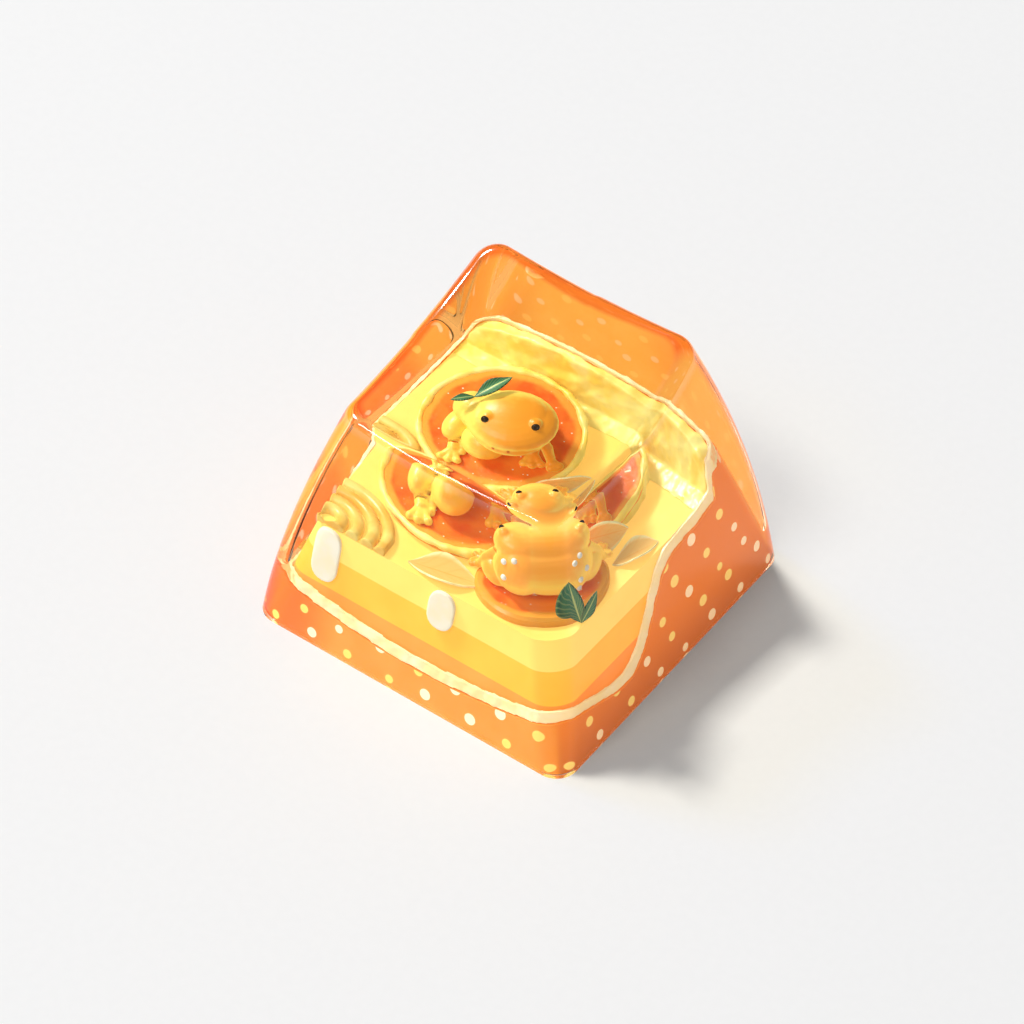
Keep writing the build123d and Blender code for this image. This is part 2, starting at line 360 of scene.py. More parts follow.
@dataclass(frozen=True)
class DottedGlaze:
    """Orange wall with rows of white and yellow dots."""

    wall: Colour = tone(210, 164, 76)
    shade: Colour = tone(208, 152, 60)
    white: Colour = tone(255, 246, 232)
    yellow: Colour = tone(255, 222, 96)
    # Painted glow colours: warm in general, low as painted shade at the foot of the side walls, far as
    # painted light at the back, dot_warm on the dots.
    warm: Colour = tone(255, 117, 20)
    low: Colour = tone(214, 92, 24)
    far: Colour = tone(255, 160, 50)
    # Painted shade: base colour towards the left wall.
    left: Colour = tone(180, 98, 36)
    # Painted shade: base colour of the wall facing right.
    right: Colour = tone(192, 116, 34)
    dot_warm: Colour = tone(255, 190, 110)
    glow: float = 0.62
    pitch: float = 2.3
    row: float = 1.2
    stagger: float = 0.3
    radius: float = 0.26
    drift: float = 0.4

    def material(self) -> bpy.types.Material:
        """Builds the finish.

        Returns:
            The material.
        """
        material, graph = new_material("dotted_glaze")
        place = graph.place()
        x, y, z = graph.axes(place)
        normal = graph.node("ShaderNodeTexCoord", {}, {}, "Normal")
        nx, ny, _ = graph.axes(normal)
        on_side = abs(nx) > abs(ny)
        along = y * on_side + x * (1.0 - on_side)
        line = (z / self.row + 0.1).math("FLOOR")
        shift = (line * self.stagger).math("FRACT") * self.pitch
        column = ((along + shift) / self.pitch).math("FLOOR")
        cell = graph.node("ShaderNodeCombineXYZ", {}, {0: column, 1: line, 2: on_side})
        chance = graph.node("ShaderNodeTexWhiteNoise", {}, {"Vector": cell}, "Color")
        pick, drift_u, drift_v = graph.axes(chance)
        across = along + shift - (column + 0.5) * self.pitch - (drift_u - 0.5) * self.drift
        above = z - (line + 0.4) * self.row - (drift_v - 0.5) * self.drift
        reach = (across * across + above * above).math("SQRT")
        size = self.radius * (0.8 + 0.4 * drift_v)
        shown = 0.25 + 0.75 * (x - y).step(-1.0, 1.0)
        dot = (1.0 - (reach - size).step(-0.03, 0.03)) * shown
        dot_colour = graph.blend(pick > 0.45, self.yellow, self.white)
        cloud = graph.noise(place, 0.5).step(0.3, 0.7)
        # Painted shade: the base colour darkens towards the left wall.
        wall = graph.blend((x * -1.0).step(4.0, 7.0), graph.blend(cloud, self.shade, self.wall), self.left)
        # Painted shade: the wall facing right, away from the key lamp, takes the deeper right tone.
        right_shade = (nx - abs(ny)).step(-0.25, 0.25) * x.step(4.0, 6.0)
        wall = graph.blend(right_shade, wall, self.right)
        colour = graph.blend(dot, wall, dot_colour)
        # Painted glow: deeper near the foot of the side walls (painted shade) and paler at the back (painted
        # light).
        shaded = on_side * (1.0 - z.step(0.0, 3.0))
        behind = (y - x).step(2.0, 6.0) * y.step(3.0, 6.0)
        warm = graph.blend(behind, graph.blend(shaded, self.warm, self.low), self.far)
        warm = graph.blend(dot, warm, self.dot_warm)
        graph.surface({"Base Color": colour, "Roughness": 0.4}, self.glow, warm)
        return material


@dataclass(frozen=True)
class CitrusJelly:
    """Glossy red-orange slice with a golden border and fine glitter."""

    flesh: Colour = tone(248, 130, 42)
    deep: Colour = tone(238, 98, 28)
    border: Colour = tone(252, 168, 62)
    glint: Colour = tone(255, 236, 190)
    # Painted glow strength.
    glow: float = 0.24

    def material(self, name: str, pose: Matrix, radius: float, edge: float) -> bpy.types.Material:
        """Builds the finish for one slice.

        Args:
            name: the material's name.
            pose: the slice's middle, in millimetres.
            radius: the slice's radius.
            edge: width of the border.

        Returns:
            The material.
        """
        material, graph = new_material(name)
        place = graph.place_on(pose)
        x, y, _ = graph.axes(place)
        reach = (x * x + y * y).math("SQRT") + (graph.noise(place, 0.9) - 0.5) * edge
        rim = reach.step(radius - 1.3 * edge, radius - 0.7 * edge)
        cloud = graph.noise(place, 0.7).step(0.35, 0.65)
        flesh = graph.blend(cloud, self.deep, self.flesh)
        flecks = graph.sparkle(place, 5.0, 0.12)
        colour = graph.blend(rim, graph.blend(flecks, flesh, self.glint), self.border)
        inputs = {"Base Color": colour, "Roughness": 0.25}
        inputs["Normal"] = graph.bump(graph.noise(place, 2.0), 0.04)
        graph.surface(inputs, self.glow)
        return material


@dataclass(frozen=True)
class FrogSkin:
    """Smooth translucent frog skin with painted rim light, paler where it turns from view, with a mouth line
    and nostrils.
    """

    name: str
    middle: Colour
    # Colour of the painted rim light where the skin turns from view.
    edge: Colour
    line: Colour
    belly: Colour
    # Painted glow strength.
    glow: float = 0.26

    def material(self, pose: Matrix, height: float, mouth: float) -> bpy.types.Material:
        """Builds the skin for one frog.

        Args:
            pose: the frog's seat, in millimetres.
            height: the frog's height.
            mouth: height of the mouth line, as a share of the frog's.

        Returns:
            The material.
        """
        material, graph = new_material(self.name)
        place = graph.place_on(pose)
        x, y, z = graph.axes(place)
        facing = graph.node("ShaderNodeLayerWeight", {}, {"Blend": 0.5}, "Facing")
        # Painted light: paler where the skin turns from view and towards its own -X side, with random drift.
        rim_light_and_drift = (facing + (graph.noise(place, 1.1) - 0.5) * 0.5 - x * (0.5 / height)).step(0.05, 0.55)
        skin = graph.blend(rim_light_and_drift, self.middle, self.edge)
        front = (y * -1.0).step(0.15 * height, 0.3 * height)
        low = 1.0 - (z / height).step(0.42, 0.55)
        pale = front * low * (1.0 - abs(x).step(0.2 * height, 0.32 * height))
        skin = graph.blend(pale, skin, self.belly)
        smile = z - mouth * height - x * x * (0.22 / height)
        lips = smile.band(0.0, 0.035, 0.03) * (y * -1.0).step(0.02 * height, 0.08 * height)
        lips = lips * (1.0 - abs(x).step(0.36 * height, 0.42 * height))
        beside = abs(x) - 0.09 * height
        above = z - (mouth + 0.09) * height
        nostril = 1.0 - (beside * beside + above * above).math("SQRT").step(0.05, 0.12)
        lips = lips.math("MAXIMUM", nostril * (y * -1.0).step(0.1 * height, 0.2 * height))
        skin = graph.blend(lips, skin, self.line)
        graph.surface({"Base Color": skin, "Roughness": 0.35}, self.glow)
        return material


@dataclass(frozen=True)
class LeafBlade:
    """Blade with a pale midrib and fine veins, along the piece's own UV map."""

    name: str
    blade: Colour
    edge: Colour
    rib: Colour
    rib_half: float = 0.05
    veins: float = 9.0
    opacity: float = 1.0
    rough: float = 0.4
    # Painted glow strength.
    glow: float = 0.08

    def material(self) -> bpy.types.Material:
        """Builds the finish.

        Returns:
            The material.
        """
        material, graph = new_material(self.name)
        along, across, _ = graph.axes(graph.node("ShaderNodeTexCoord", {}, {}, "UV"))
        side = abs(across - 0.5)
        rib = 1.0 - side.step(0.4 * self.rib_half, self.rib_half)
        vein = ((along - side * 0.7) * self.veins).math("FRACT").band(0.5, 0.12, 0.1)
        rim = side.step(0.36, 0.5)
        colour = graph.blend(rim, self.blade, self.edge)
        colour = graph.blend(rib.math("MAXIMUM", vein * 0.3), colour, self.rib)
        inputs = {"Base Color": colour, "Roughness": self.rough}
        if self.opacity < 1.0:
            inputs["Alpha"] = rim * (1.0 - self.opacity) + self.opacity
        graph.surface(inputs, self.glow)
        return material


def deselect() -> None:
    """Clears the selection before an operator acts."""
    if bpy.context.object and bpy.context.object.mode != "OBJECT":
        bpy.ops.object.mode_set(mode="OBJECT")
    bpy.ops.object.select_all(action="DESELECT")


def pick_only(piece: bpy.types.Object) -> None:
    """Makes one object the selected and active one."""
    deselect()
    piece.select_set(True)
    bpy.context.view_layer.objects.active = piece


def middle_of(node: str) -> Vector:
    """Middle of a CAD node's box, in millimetres."""
    low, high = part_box(node)
    return (low + high) / (2 * MM)


def copy_node(name: str) -> bpy.types.Object:
    """Copies a CAD node in millimetres, with its loose triangles merged.

    Args:
        name: the node's name.

    Returns:
        The new object.
    """
    piece = bpy.data.objects.new(f"{name}_dressed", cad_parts[name].data.copy())
    bpy.context.scene.collection.objects.link(piece)
    piece.data.transform(Matrix.Scale(1 / MM, 4))
    piece.data.materials.clear()
    pick_only(piece)
    bpy.ops.object.mode_set(mode="EDIT")
    bpy.ops.mesh.select_all(action="SELECT")
    bpy.ops.mesh.remove_doubles(threshold=0.001)
    bpy.ops.object.mode_set(mode="OBJECT")
    return piece


def add_ball(
    place: Vector, half: Sequence[float], turn: Sequence[float] = (0.0, 0.0, 0.0)
) -> bpy.types.Object:
    """Adds an oval lump in millimetres.

    Args:
        place: its centre.
        half: its three half axes.
        turn: rotation about X, Y and Z in degrees.

    Returns:
        The new object.
    """
    deselect()
    bpy.ops.mesh.primitive_uv_sphere_add(segments=24, ring_count=14, radius=1.0)
    ball = bpy.context.object
    ball.scale = half
    ball.rotation_euler = Euler([math.radians(angle) for angle in turn])
    ball.location = place
    bpy.ops.object.transform_apply(location=True, rotation=True, scale=True)
    return ball


def add_limb(points: Sequence[Vector], radii: Sequence[float]) -> list[bpy.types.Object]:
    """Adds a chain of lumps that melt into one limb.

    Args:
        points: places along the limb.
        radii: thickness at each place.

    Returns:
        The lumps.
    """
    lumps = []
    for start, end, thick, thin in zip(points, points[1:], radii, radii[1:]):
        count = max(2, int((end - start).length / (0.6 * min(thick, thin))))
        for index in range(count + 1):
            share = index / count
            radius = thick + (thin - thick) * share
            lumps.append(add_ball(start.lerp(end, share), (radius, radius, radius)))
    return lumps


def add_ring(place: Vector, major: float, minor: float, flat: float = 1.0) -> bpy.types.Object:
    """Adds a ring of piped cream in millimetres.

    Args:
        place: its centre.
        major: radius of the ring.
        minor: thickness of the cream.
        flat: height as a share of the thickness.

    Returns:
        The new object.
    """
    deselect()
    bpy.ops.mesh.primitive_torus_add(
        major_segments=72, minor_segments=16, major_radius=major, minor_radius=minor
    )
    ring = bpy.context.object
    ring.scale = (1.0, 1.0, flat)
    ring.location = place
    bpy.ops.object.transform_apply(location=True, rotation=True, scale=True)
    return ring


def join(pieces: Iterable[bpy.types.Object], name: str) -> bpy.types.Object:
    """Joins objects into one.

    Args:
        pieces: the objects.
        name: the result's name.

    Returns:
        The joined object.
    """
    pieces = list(pieces)
    pick_only(pieces[0])
    for piece in pieces:
        piece.select_set(True)
    if len(pieces) > 1:
        bpy.ops.object.join()
    joined = bpy.context.object
    joined.name = name
    return joined


def trim(piece: bpy.types.Object, point: Sequence[float], outward: Sequence[float]) -> None:
    """Cuts away what lies beyond a plane and closes the cut.

    Args:
        piece: the object, in millimetres.
        point: a point of the plane.
        outward: direction of the side that goes.
    """
    pick_only(piece)
    bpy.ops.object.mode_set(mode="EDIT")
    bpy.ops.mesh.select_all(action="SELECT")
    bpy.ops.mesh.bisect(plane_co=point, plane_no=outward, use_fill=True, clear_outer=True)
    bpy.ops.object.mode_set(mode="OBJECT")


def melt(piece: bpy.types.Object, voxel: float, rounds: int) -> None:
    """Fuses a piece's lumps into one skin and softens it.

    Args:
        piece: the object, in millimetres.
        voxel: grid size.
        rounds: smoothing passes.
    """
    pick_only(piece)
    fuse = piece.modifiers.new("fuse", "REMESH")
    fuse.mode = "VOXEL"
    fuse.voxel_size = voxel
    bpy.ops.object.modifier_apply(modifier=fuse.name)
    soften = piece.modifiers.new("soften", "SMOOTH")
    soften.factor = 0.5
    soften.iterations = rounds
    bpy.ops.object.modifier_apply(modifier=soften.name)
    bpy.ops.object.shade_smooth()


def ruffle(piece: bpy.types.Object, depth: float, grain: float, shrink: float = 0.0) -> None:
    """Makes a surface uneven.

    Args:
        piece: the object, in millimetres.
        depth: how far it moves.
        grain: size of the lumps.
        shrink: how far it draws in on the whole.
    """
    pick_only(piece)
    cloud = bpy.data.textures.new(f"{piece.name}_cloud", "CLOUDS")
    cloud.noise_scale = grain
    cloud.noise_depth = 1
    waves = piece.modifiers.new("ruffle", "DISPLACE")
    waves.texture = cloud
    waves.strength = depth
    waves.mid_level = 0.5 + shrink / depth
    bpy.ops.object.modifier_apply(modifier=waves.name)


def settle(piece: bpy.types.Object, material: bpy.types.Material, slot: str, *nodes: str) -> bpy.types.Object:
    """Brings a finished piece to metres, dresses it and lets it ride.

    Args:
        piece: the object, in millimetres.
        material: its finish.
        slot: name of the piece's material slot; not used.
        nodes: CAD nodes that it stands for.

    Returns:
        The same object.
    """
    pick_only(piece)
    piece.scale = (MM, MM, MM)
    bpy.ops.object.transform_apply(location=True, rotation=True, scale=True)
    piece.data.materials.clear()
    piece.data.materials.append(material)
    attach(piece, BODY)
    if nodes:
        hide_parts(*nodes)
    LOG.info("piece %s: %d faces", piece.name, len(piece.data.polygons))
    return piece


def dress(node: str, material: bpy.types.Material) -> None:
    """Gives a CAD node a better finish.

    Args:
        node: the node's name.
        material: the finish.
    """
    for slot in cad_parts[node].material_slots:
        slot.material = material
    LOG.info("dressed %s", node)


@dataclass
class Shell:
    """Clear outer casting: bulging walls, a dished top with soft edges, and a foot that hides in the cup."""

    base_width: float = 18.4
    top_width: float = 11.89
    top_front: float = -6.05
    top_back: float = 5.70
    front_height: float = 13.37
    back_height: float = 15.78
    bulge: float = 0.40
    corner: float = 1.16
    long_sag: float = 1.20
    cross_sag: float = 0.33
    edge_radius: float = 0.62
    foot: float = 0.25
    polish: float = 0.5
    # Where the painted amber reflection tint starts and how far it takes to rise.
    amber_start: float = -1.2
    amber_run: float = 0.9
    around: int = 240
    wall_steps: int = 40
    edge_steps: int = 10
    dish_steps: int = 26
    finish: ClearResin = ClearResin()

    def __post_init__(self) -> None:
        """Works out the top's middle, tilt and dish."""
        rise = self.back_height - self.front_height
        run = self.top_back - self.top_front
        height = (self.front_height + self.back_height) / 2
        self.middle = Vector((0.0, (self.top_front + self.top_back) / 2, height))
        self.tilt = math.atan2(rise, run)
        self.top_depth = math.hypot(rise, run)
        self.cross_radius = self.top_width ** 2 / (8 * self.cross_sag) + self.cross_sag / 2
        self.long_radius = self.top_depth ** 2 / (8 * self.long_sag) + self.long_sag / 2

    def build(self) -> None:
        """Wraps a grid round the form, one column for each step round it, and closes it."""
        columns = [self._column(index / self.around) for index in range(self.around)]
        count = len(columns[0])
        deselect()
        bpy.ops.mesh.primitive_grid_add(x_subdivisions=self.around, y_subdivisions=count - 1, size=1.0)
        skin = bpy.context.object
        skin.name = "clear_casting"
        for index, vertex in enumerate(skin.data.vertices):
            row, column = divmod(index, self.around + 1)
            vertex.co = columns[column % self.around][row]
        self._mark_edge(skin, count)
        pick_only(skin)
        bpy.ops.object.mode_set(mode="EDIT")
        bpy.ops.mesh.select_all(action="SELECT")
        bpy.ops.mesh.remove_doubles(threshold=0.0001)
        bpy.ops.mesh.normals_make_consistent(inside=False)
        bpy.ops.object.mode_set(mode="OBJECT")
        bpy.ops.object.shade_smooth_by_angle(angle=math.radians(30))
        settle(skin, self.finish.material(), "clear_resin", "clear_shell")

    def _mark_edge(self, skin: bpy.types.Object, count: int) -> None:
        """Notes where the soft top edge shines, and where the left and back walls are tinted amber as a
        painted reflection.

        Args:
            skin: the wrapped grid.
            count: points in one column.
        """
        first = count - self.dish_steps - self.edge_steps - 1
        polish = skin.data.attributes.new("polish", "FLOAT", "POINT")
        painted_reflection = skin.data.attributes.new("painted_reflection", "FLOAT", "POINT")
        for index, vertex in enumerate(skin.data.vertices):
            row = index // (self.around + 1)
            on_edge = first <= row <= first + self.edge_steps
            past = vertex.co.y - vertex.co.x - self.amber_start
            behind = min(max(past / self.amber_run, 0.0), 1.0)
            polish.data[index].value = self.polish if on_edge else 0.0
            painted_reflection.data[index].value = behind if row <= first + self.edge_steps else 0.0

    def _width(self, foot: float, top: float, level: float) -> float:
        """Distance between two bulging walls at a share of the height."""
        return foot + (top - foot) * level + 8 * self.bulge * level * (1 - level)

    def _section(self, share: float, level: float) -> Vector:
        """Point of the walls at a share of the way round and of the height."""
        width = self._width(self.base_width, self.top_width, level)
        depth = self._width(self.base_width, self.top_depth, level)
        flat = self._rounded(share, width / 2, depth / 2, self.corner)
        turn = Matrix.Rotation(self.tilt * level, 3, "X")
        return turn @ Vector((flat[0], flat[1], 0.0)) + self.middle * level

    @staticmethod
    def _rounded(share: float, half_x: float, half_y: float, radius: float) -> tuple[float, float]:
        """Point of a rounded rectangle, a quarter of the steps on each side, half of them on its corner."""
        quarter, part = divmod(share * 4 + 0.5, 1.0)
        straight_x, straight_y = half_x - radius, half_y - radius
        if part < 0.25:
            x, y = half_x, (part / 0.25) * straight_y
        elif part < 0.75:
            angle = (part - 0.25) * math.pi
            x, y = straight_x + radius * math.cos(angle), straight_y + radius * math.sin(angle)
        else:
            x, y = (1.0 - (part - 0.75) / 0.25) * straight_x, half_y
        for _ in range(int(quarter) % 4):
            x, y = -y, x
        return x, y

    def _above_dish(self, point: Vector) -> float:
        """Height of a point over the dished top, less than zero below it."""
        local = Matrix.Rotation(-self.tilt, 3, "X") @ (point - self.middle)
        lift = self.cross_radius - self.cross_sag - self.long_sag
        swing = math.hypot(local.x, local.z - lift)
        return self.long_radius - math.hypot(swing - (self.cross_radius - self.long_radius), local.y)

    def _onto_dish(self, point: Vector) -> Vector:
        """Drops a point on the dish, square to the top."""
        up = Matrix.Rotation(self.tilt, 3, "X") @ Vector((0.0, 0.0, 1.0))
        low, high = -4.0, 4.0
        for _ in range(40):
            half = (low + high) / 2
            low, high = (half, high) if self._above_dish(point + up * half) < 0 else (low, half)
        return point + up * low

    def _column(self, share: float) -> list[Vector]:
        """Points up the wall, over the soft edge and in to the middle of the dish, with the foot first."""
        low, high = 0.7, 1.08
        for _ in range(40):
            half = (low + high) / 2
            low, high = (half, high) if self._above_dish(self._section(share, half)) < 0 else (low, half)
        corner = self._section(share, low)
        centre = self._onto_dish(self.middle)
        down = self._section(share, low - 0.03) - corner
        inward = self._onto_dish(corner.lerp(centre, 0.08)) - corner
        half_angle = down.angle(inward) / 2
        reach = self.edge_radius / math.tan(half_angle)
        wall_end = low - 0.03 * reach / down.length
        dish_start = 0.08 * reach / inward.length
        levels = [wall_end * step / self.wall_steps for step in range(self.wall_steps + 1)]
        wall = [self._section(share, level) for level in levels]
        dish = []
        for step in range(self.dish_steps + 1):
            part = dish_start + (1.0 - dish_start) * step / self.dish_steps
            dish.append(self._onto_dish(corner.lerp(centre, part)))
        edge = []
        for step in range(1, self.edge_steps):
            part = step / self.edge_steps
            weights = ((1 - part) ** 2, 2 * part * (1 - part) * math.sin(half_angle), part ** 2)
            point = wall[-1] * weights[0] + corner * weights[1] + dish[0] * weights[2]
            edge.append(point / sum(weights))
        return self._foot(wall[0]) + wall + edge + dish

    def _foot(self, rim: Vector) -> list[Vector]:
        """Hidden way from the middle of the cup's roof, down inside its walls, to the bottom edge."""
        half = self.base_width / 2
        stations = ((0.0, 4.5), (0.69, 4.5), (0.80, 0.55), (0.93, 0.55), (1.0 - self.foot / half, 0.0))
        return [Vector((rim.x * scale, rim.y * scale, height)) for scale, height in stations]


@dataclass
class Cup:
    """Dotted cup and the cream along its edge."""

    glaze: DottedGlaze = DottedGlaze()
    # Painted glow on the rim cream, and painted shade on its faces turned to the back or left.
    cream: Mottled = Mottled(
        "rim_cream", tone(255, 244, 206), tone(255, 226, 160), roughness=0.35,
        glow=0.5, warm=tone(255, 206, 140), outer_shade=tone(226, 140, 70),
    )

    def build(self) -> None:
        """Dresses the cup and pipes its edge."""
        dress("dotted_cup", self.glaze.material())
        rim = copy_node("cream_rim")
        melt(rim, 0.06, 6)
        ruffle(rim, 0.14, 0.6, 0.08)
        settle(rim, self.cream.material(), "cream", "cream_rim")


@dataclass
class Slices:
    """Two rounds of citrus jelly."""

    tilt: float = 6.0
    large: float = 4.2
    small: float = 2.3
    border: float = 0.5
    finish: CitrusJelly = CitrusJelly()

    def large_pose(self) -> Matrix:
        """Middle of the large slice, tipped up towards the back."""
        return Matrix.Translation(middle_of("large_citrus_slice")) @ turned(self.tilt, "X")

    def small_pose(self) -> Matrix:
        """Middle of the small slice."""
        return Matrix.Translation(middle_of("small_citrus_slice"))

    def build(self) -> None:
        """Dresses both slices."""
        large = self.finish.material("large_jelly", self.large_pose(), self.large, self.border)
        small = self.finish.material("small_jelly", self.small_pose(), self.small, self.border)
        dress("large_citrus_slice", large)
        dress("small_citrus_slice", small)


@dataclass
class Cake:
    """Layers, cream bed, rosette and drips."""

    slices: Slices
    top: float = 6.35
    reach: float = 6.63
    ridge: float = 0.36
    ripples: tuple[float, ...] = (0.8, 1.65, 2.5, 3.3)
    lip: float = 0.2
    # Painted glow: the layers glow strongly in warm colours, the bed, piped cream and drips more softly.
    lower: Mottled = Mottled(
        "cake_orange", tone(234, 164, 82), tone(228, 152, 70), 0.5, glow=0.75, warm=tone(255, 126, 18)
    )
    middle: Mottled = Mottled(
        "cake_golden", tone(234, 184, 68), tone(228, 172, 56), 0.5, glow=0.75, warm=tone(255, 166, 41)
    )
    upper: Mottled = Mottled(
        "cake_pale", tone(234, 198, 102), tone(228, 188, 90), 0.5, glow=0.75, warm=tone(255, 203, 97)
    )
    bed: Mottled = Mottled("bed_cream", tone(255, 243, 146), tone(254, 216, 86), 0.55, 0.35, glow=0.3)
    piped: Mottled = Mottled("piped_cream", tone(255, 230, 128), tone(248, 186, 70), 0.6, 0.35)
    drip: Mottled = Mottled("drip_cream", tone(255, 250, 232), tone(255, 242, 210), 0.8, 0.3)

    def build(self) -> None:
        """Builds the cake from the bottom up."""
        dress("cake_layer_lower", self.lower.material())
        dress("cake_layer_middle", self.middle.material())
        dress("cake_layer_upper", self.upper.material())
        lip = add_ring(Vector((0, 0, 0)), self.slices.large + 0.06, self.lip)
        lip.data.transform(self.slices.large_pose() @ moved(0, 0, 0.2))
        bed = join([copy_node("cream_bed"), lip], "cream_bed_dressed")
        melt(bed, 0.08, 5)
        ruffle(bed, 0.24, 0.9)
        settle(bed, self.bed.material(), "yellow_cream", "cream_bed")
        self._rosette()
        drips = copy_node("cream_drips")
        melt(drips, 0.05, 5)
        settle(drips, self.drip.material(), "white_cream", "cream_drips")

    def _rosette(self) -> None:
        """Pipes rings of cream and trims them to the cake's corner."""
        low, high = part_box("cream_rosette")
        centre = Vector((low.x / MM + 0.5, low.y / MM + 0.5, self.top + 0.12))
        rosette = join([add_ring(centre, radius, self.ridge) for radius in self.ripples], "piped_rosette")
        trim(rosette, (high.x / MM, 0.0, 0.0), (1, 0, 0))
        trim(rosette, (0.0, high.y / MM, 0.0), (0, 1, 0))
        for outward in ((-1, 0, 0), (0, -1, 0)):
            trim(rosette, (-self.reach, -self.reach, 0.0), outward)
        trim(rosette, (0.0, 0.0, self.top - 0.05), (0, 0, -1))
        melt(rosette, 0.05, 3)
        settle(rosette, self.piped.material(), "yellow_cream", "cream_rosette")


class Stance(Enum):
    """How a frog sits."""

    UPRIGHT = "upright"
    HUNCHED = "hunched"


@dataclass
class Frog:
    """Plump frog with round toes and bead eyes, all sizes as shares of its height."""

    node: str
    slot: str
    pose: Matrix
    height: float
    stance: Stance
    skin: FrogSkin
    bead: float = 0.22

    def build(self) -> None:
        """Models the body, fuses it, and sets the eyes."""
        lumps = self._trunk() + self._legs() + self._arms()
        frog = join(lumps, f"{self.node}_figure")
        trim(frog, (0.0, 0.0, 0.0), (0, 0, -1))
        melt(frog, 0.05, 12)
        frog.data.transform(self.pose)
        mouth = 0.60 if self.stance is Stance.UPRIGHT else 0.52
        settle(frog, self.skin.material(self.pose, self.height, mouth), self.slot, self.node)
        self._eyes()

    def _spot(self, x: float, y: float, z: float) -> Vector:
        """Point in millimetres from shares of the height."""
        return Vector((x, y, z)) * self.height

    def _lump(
        self, place: Sequence[float], half: Sequence[float], turn: Sequence[float] = (0, 0, 0)
    ) -> bpy.types.Object:
        """Oval lump from shares of the height."""
        return add_ball(self._spot(*place), [self.height * size for size in half], turn)

    def _trunk(self) -> list[bpy.types.Object]:
        """Body, belly, head, snout and the domes of the eyes.

        Returns:
            The lumps.
        """
        if self.stance is Stance.UPRIGHT:
            lumps = [
                self._lump((-0.16, 0.06, 0.38), (0.40, 0.36, 0.38)),
                self._lump((-0.27, -0.32, 0.26), (0.28, 0.28, 0.26)),
                self._lump((0.04, -0.12, 0.70), (0.54, 0.45, 0.23)),
                self._lump((0.05, -0.22, 0.63), (0.45, 0.39, 0.15)),
                self._lump((0.04, -0.04, 0.81), (0.40, 0.31, 0.14)),
                self._lump((-0.46, 0.04, 0.58), (0.23, 0.23, 0.23)),
                self._lump((-0.30, -0.02, 0.62), (0.30, 0.30, 0.22)),
            ]
        else:
            lumps = [
                self._lump(HUNCHED_MIDDLE, HUNCHED_HALF),
                self._lump((0, -0.12, 0.70), (0.40, 0.36, 0.25)),
            ]
        for side in (-1, 1):
            lumps.append(add_ball(self._dome(side), [0.095 * self.height] * 3))
        return lumps

    def _dome(self, side: int) -> Vector:
        """Middle of an eye's dome, in millimetres."""
        if self.stance is Stance.UPRIGHT:
            return self._spot(0.05 + side * 0.27, -0.17, 0.84)
        return self._spot(side * 0.25, -0.14, 0.87)

    def _legs(self) -> list[bpy.types.Object]:
        """Thighs, shins and three-toed feet.

        Returns:
            The lumps.
        """
        lumps = []
        hips = ((-1, -0.36, 0.0), (1, 0.36, 0.0))
        if self.stance is Stance.UPRIGHT:
            hips = ((-1, -0.64, 0.0), (1, 0.28, 0.18))
        for side, across, back in hips:
            lumps.append(self._lump((across, back - 0.08, 0.18), (0.16, 0.28, 0.19), (0, 0, side * 20)))
            ankle = self._spot(across, back - 0.32, 0.06)
            heel = self._spot(across, back - 0.44, 0.05)
            lumps += add_limb([ankle, heel], [0.09 * self.height, 0.08 * self.height])
            lumps += self._toes(heel, side * 8, 0.22)
        return lumps

    def _arms(self) -> list[bpy.types.Object]:
        """Arms that rest on the slice, with fingers.

        Returns:
            The lumps.
        """
        lumps = []
        for side in (-1, 1):
            shoulder = self._spot(side * 0.32, -0.16, 0.50)
            elbow = self._spot(side * 0.46, -0.26, 0.30)
            wrist = self._spot(side * 0.52, -0.36, 0.07)
            thick = [0.085 * self.height, 0.075 * self.height, 0.06 * self.height]
            lumps += add_limb([shoulder, elbow, wrist], thick)
            lumps += self._toes(wrist, side * 35, 0.12)
        return lumps

    def _toes(self, root: Vector, splay: float, length: float) -> list[bpy.types.Object]:
        """Three round-tipped toes that fan out from a foot.

        Args:
            root: where they start.
            splay: turn of the middle toe, in degrees.
            length: their length, as a share of the height.

        Returns:
            The lumps.
        """
        lumps = []
        for fan in (-28, 0, 28):
            angle = math.radians(splay + fan)
            tip = root + Vector((math.sin(angle), -math.cos(angle), -0.15)) * length * self.height
            tip.z = 0.04 * self.height
            lumps += add_limb([root, tip], [0.055 * self.height, 0.045 * self.height])
            lumps.append(add_ball(tip, [0.058 * self.height] * 3))
        return lumps

    def _eyes(self) -> None:
        """Sets two black beads into the domes."""
        beads = []
        for side in (-1, 1):
            look = Vector((side * 0.25, -0.75, 0.6)).normalized()
            beads.append(add_ball(self._dome(side) + look * 0.07 * self.height, [self.bead] * 3))
        eyes = join(beads, f"{self.node}_eyes")
        bpy.ops.object.shade_smooth()
        eyes.data.transform(self.pose)
        black = Mottled(f"{self.node}_bead", tone(34, 24, 20), tone(14, 10, 10), 4.0, 0.12)
        settle(eyes, black.material(), self.slot)


